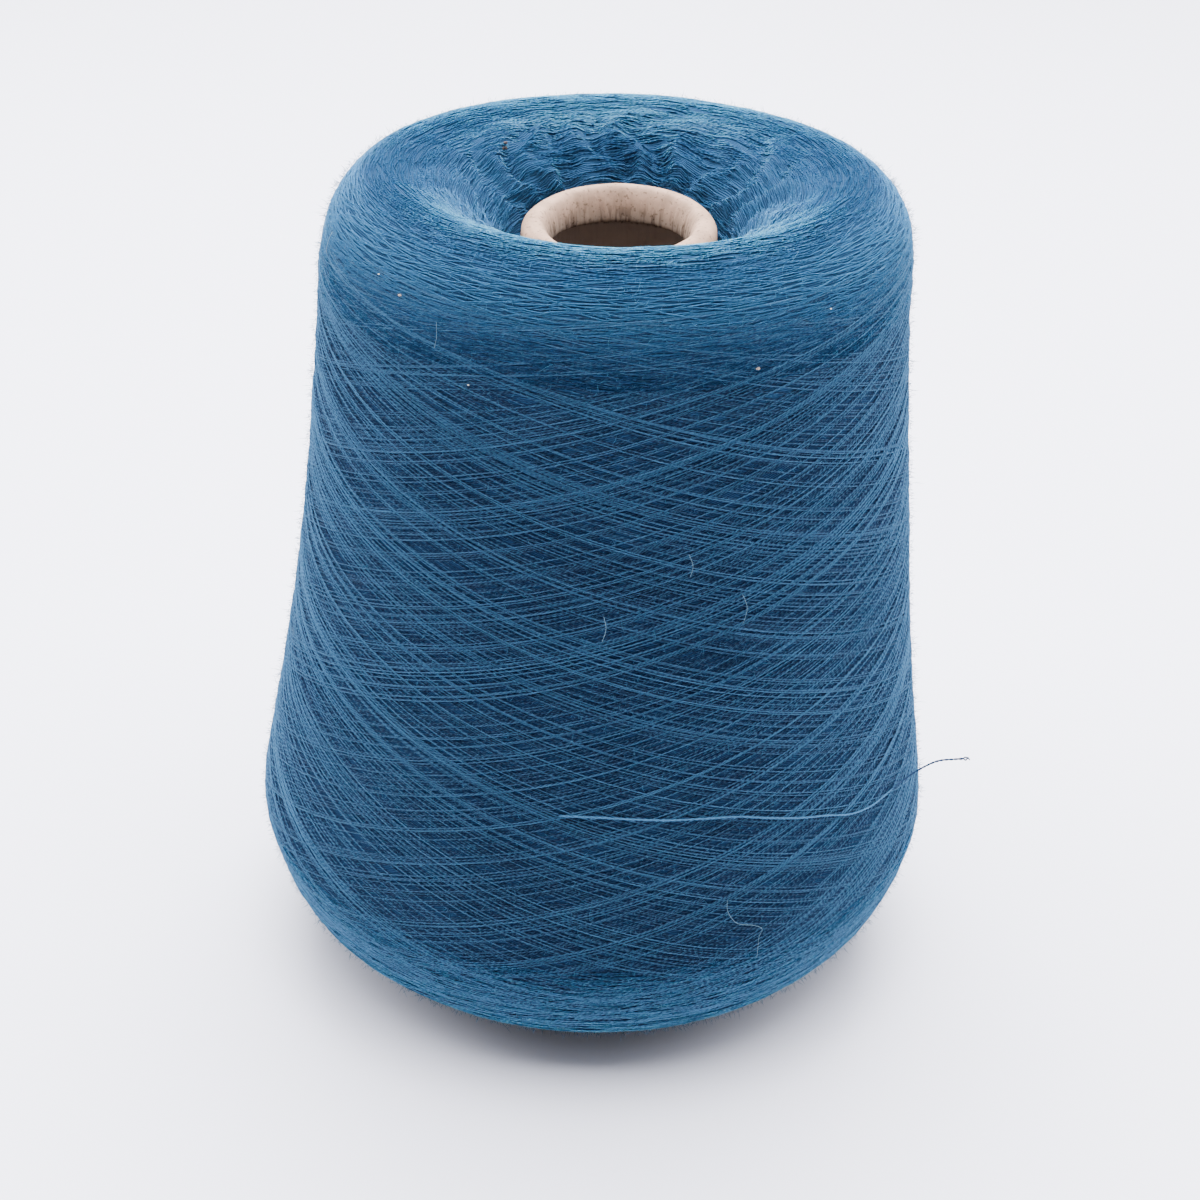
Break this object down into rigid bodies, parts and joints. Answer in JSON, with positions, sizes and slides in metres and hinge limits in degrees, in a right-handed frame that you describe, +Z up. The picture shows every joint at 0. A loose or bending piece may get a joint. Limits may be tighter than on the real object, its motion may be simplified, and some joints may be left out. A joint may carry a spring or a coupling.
{
  "type": "cone of yarn",
  "caption": "Soft wound package of dyed yarn on a tapered paper cone with a rolled nose, dished pleated top and one loose yarn end.",
  "frame": {"origin": "on the floor under the middle of the winding's widest section", "axes": "+Z up along the cone, from its base rim to its nose; -Y towards the front of the picture's view"},
  "size_m": [0.1581, 0.1494, 0.1795],
  "materials": {
    "dyed_yarn": "soft two-ply wool-like yarn in a muted ocean blue, cross-wound, matt with a slight sheen and a halo of short fibres",
    "pale_paper": "pale beige recycled paper, matt, with fine fibres and small pleats inside the rolled nose",
    "dyed_thread": "one strand of the same two-ply yarn, matt and slightly hairy"
  },
  "bodies": {
    "root": {"yarn_package": "dyed_yarn", "paper_cone": "pale_paper", "loose_end": "dyed_thread"}
  },
  "joints": []
}
